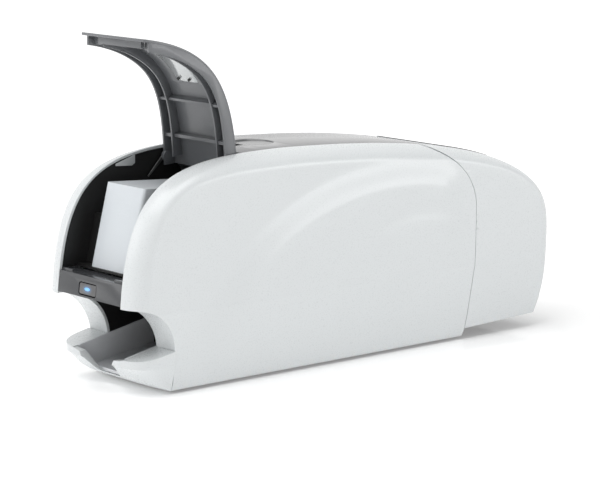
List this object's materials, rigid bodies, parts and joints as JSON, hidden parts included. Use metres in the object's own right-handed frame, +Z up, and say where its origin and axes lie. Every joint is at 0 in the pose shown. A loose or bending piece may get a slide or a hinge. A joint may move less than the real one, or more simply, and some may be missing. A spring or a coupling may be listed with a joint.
{
  "type": "id card printer",
  "caption": "Desktop ID card printer with a lift-up hopper cover over a card stack, front power button, scooped output bay and notched output tray.",
  "frame": {"origin": "on the table under the middle of the printer", "axes": "-Y towards the output tray at the front, +Z up, +X to the printer's right-hand side seen in the picture"},
  "size_m": [0.132, 0.4836, 0.2942],
  "materials": {
    "white_shell": "satin",
    "dark_trim": "gloss",
    "grey_inner": "satin",
    "grey_panel": "satin",
    "black_plastic": "satin",
    "card": "gloss",
    "steel": "satin",
    "foil": "polished",
    "rubber": "matte",
    "clean_rubber": "matte",
    "brass": "satin",
    "led": "lit",
    "board": "satin",
    "ribbon": "gloss",
    "fins": "satin"
  },
  "bodies": {
    "chassis": {"right_side_cover": "white_shell", "left_side_cover": "white_shell", "rear_cover": "white_shell", "rear_trim": "dark_trim", "hopper_hinge_pins": "steel", "front_panel": "grey_panel", "output_tray": "white_shell", "tray_liner": "grey_inner", "output_chute": "black_plastic", "base_chassis": "black_plastic", "rubber_feet": "rubber", "hopper_bin": "black_plastic", "card_stack": "card", "left_frame": "steel", "right_frame": "steel", "frame_rods": "steel", "frame_screws": "steel", "roller_bushes": "brass", "feed_belt": "rubber", "drive_belt": "rubber", "main_motor": "steel", "top_hinge_pins": "steel", "flipper_bracket": "steel", "flipper_motor": "steel", "main_board": "board", "board_parts": "black_plastic", "fan_frame": "black_plastic", "power_inlet": "black_plastic", "data_ports": "steel", "switch_frame": "black_plastic"},
    "hopper_lid": {"hopper_cover": "grey_inner", "hopper_window": "foil"},
    "top_lid": {"top_cover": "dark_trim", "cover_latch": "black_plastic", "print_head": "black_plastic", "heat_sink": "fins", "head_bracket": "steel", "ribbon_frame": "grey_inner", "ribbon_motor": "steel", "ribbon_belt": "rubber"},
    "supply": {"supply_spool": "ribbon"},
    "take_up": {"take_up_spool": "ribbon"},
    "ribbon_drive": {"ribbon_pulley": "steel"},
    "button": {"power_button": "grey_panel", "button_light": "led"},
    "motor_shaft": {"motor_pulley": "steel"},
    "pick": {"pick_roller": "rubber"},
    "clean": {"cleaning_roller": "clean_rubber"},
    "feed_front": {"front_feed_roller": "rubber"},
    "platen": {"platen_roller": "rubber"},
    "feed_rear": {"rear_feed_roller": "rubber"},
    "idle_clean": {"cleaning_idler": "steel"},
    "idle_front": {"front_idler": "steel"},
    "idle_rear": {"rear_idler": "steel"},
    "gate": {"divert_gate": "grey_inner"},
    "drum": {"flipper_drum": "grey_inner"},
    "flip_front": {"flipper_roller_front": "rubber"},
    "flip_rear": {"flipper_roller_rear": "rubber"},
    "fan": {"fan_rotor": "black_plastic"},
    "rocker": {"power_switch": "black_plastic"}
  },
  "joints": [
    {"name": "hopper_cover_hinge", "type": "hinge", "parent": "chassis", "child": "hopper_lid", "pos_m": [0, -0.1279, 0.1827], "axis": [1, 0, 0], "range_deg": [0, 90]},
    {"name": "top_cover_hinge", "type": "hinge", "parent": "chassis", "child": "top_lid", "pos_m": [0, 0.094, 0.171], "axis": [-1, 0, 0], "range_deg": [0, 60]},
    {"name": "power_button_press", "type": "slide", "parent": "chassis", "child": "button", "axis": [0, 1, 0], "range_m": [0, 0.001], "stiffness_N_per_m": 400},
    {"name": "motor_spin", "type": "hinge", "parent": "chassis", "child": "motor_shaft", "pos_m": [0, 0.03, 0.045], "axis": [1, 0, 0], "continuous": true},
    {"name": "pick_spin", "type": "hinge", "parent": "chassis", "child": "pick", "pos_m": [0, -0.175, 0.082], "axis": [1, 0, 0], "continuous": true},
    {"name": "cleaning_spin", "type": "hinge", "parent": "chassis", "child": "clean", "pos_m": [0, -0.112, 0.082], "axis": [1, 0, 0], "continuous": true},
    {"name": "front_feed_spin", "type": "hinge", "parent": "chassis", "child": "feed_front", "pos_m": [0, -0.075, 0.082], "axis": [1, 0, 0], "continuous": true},
    {"name": "platen_spin", "type": "hinge", "parent": "chassis", "child": "platen", "pos_m": [0, 0, 0.082], "axis": [1, 0, 0], "continuous": true},
    {"name": "rear_feed_spin", "type": "hinge", "parent": "chassis", "child": "feed_rear", "pos_m": [0, 0.095, 0.082], "axis": [1, 0, 0], "continuous": true},
    {"name": "cleaning_idler_spin", "type": "hinge", "parent": "chassis", "child": "idle_clean", "pos_m": [0, -0.112, 0.09576], "axis": [1, 0, 0], "continuous": true},
    {"name": "front_idler_spin", "type": "hinge", "parent": "chassis", "child": "idle_front", "pos_m": [0, -0.075, 0.09576], "axis": [1, 0, 0], "continuous": true},
    {"name": "rear_idler_spin", "type": "hinge", "parent": "chassis", "child": "idle_rear", "pos_m": [0, 0.095, 0.09576], "axis": [1, 0, 0], "continuous": true},
    {"name": "gate_swing", "type": "hinge", "parent": "chassis", "child": "gate", "pos_m": [0, -0.094, 0.086], "axis": [1, 0, 0], "range_deg": [-15, 20]},
    {"name": "take_up_spin", "type": "hinge", "parent": "top_lid", "child": "take_up", "pos_m": [0, 0.04, 0.13], "axis": [1, 0, 0], "continuous": true},
    {"name": "supply_spin", "type": "hinge", "parent": "top_lid", "child": "supply", "pos_m": [0, -0.04, 0.13], "axis": [1, 0, 0], "continuous": true},
    {"name": "ribbon_motor_spin", "type": "hinge", "parent": "top_lid", "child": "ribbon_drive", "pos_m": [0, 0.04, 0.152], "axis": [1, 0, 0], "continuous": true},
    {"name": "flipper_turn", "type": "hinge", "parent": "chassis", "child": "drum", "pos_m": [0, 0.171, 0.09038], "axis": [1, 0, 0], "continuous": true},
    {"name": "flipper_front_spin", "type": "hinge", "parent": "drum", "child": "flip_front", "pos_m": [0, 0.145, 0.083], "axis": [1, 0, 0], "continuous": true},
    {"name": "flipper_rear_spin", "type": "hinge", "parent": "drum", "child": "flip_rear", "pos_m": [0, 0.197, 0.083], "axis": [1, 0, 0], "continuous": true},
    {"name": "fan_spin", "type": "hinge", "parent": "chassis", "child": "fan", "pos_m": [0, -0.037, 0.042], "axis": [1, 0, 0], "continuous": true},
    {"name": "power_switch_rock", "type": "hinge", "parent": "chassis", "child": "rocker", "pos_m": [-0.036, 0.228, 0.03], "axis": [1, 0, 0], "range_deg": [0, 14]}
  ],
  "couplings": [
    {"joint": "motor_spin", "follows": "pick_spin", "ratio": 1},
    {"joint": "cleaning_spin", "follows": "pick_spin", "ratio": 1},
    {"joint": "front_feed_spin", "follows": "pick_spin", "ratio": 1},
    {"joint": "platen_spin", "follows": "pick_spin", "ratio": 1},
    {"joint": "rear_feed_spin", "follows": "pick_spin", "ratio": 1},
    {"joint": "cleaning_idler_spin", "follows": "pick_spin", "ratio": -1.6},
    {"joint": "front_idler_spin", "follows": "pick_spin", "ratio": -1.6},
    {"joint": "rear_idler_spin", "follows": "pick_spin", "ratio": -1.6},
    {"joint": "take_up_spin", "follows": "supply_spin", "ratio": 1.6667},
    {"joint": "ribbon_motor_spin", "follows": "supply_spin", "ratio": 2.9167},
    {"joint": "flipper_rear_spin", "follows": "flipper_front_spin", "ratio": 1}
  ]
}
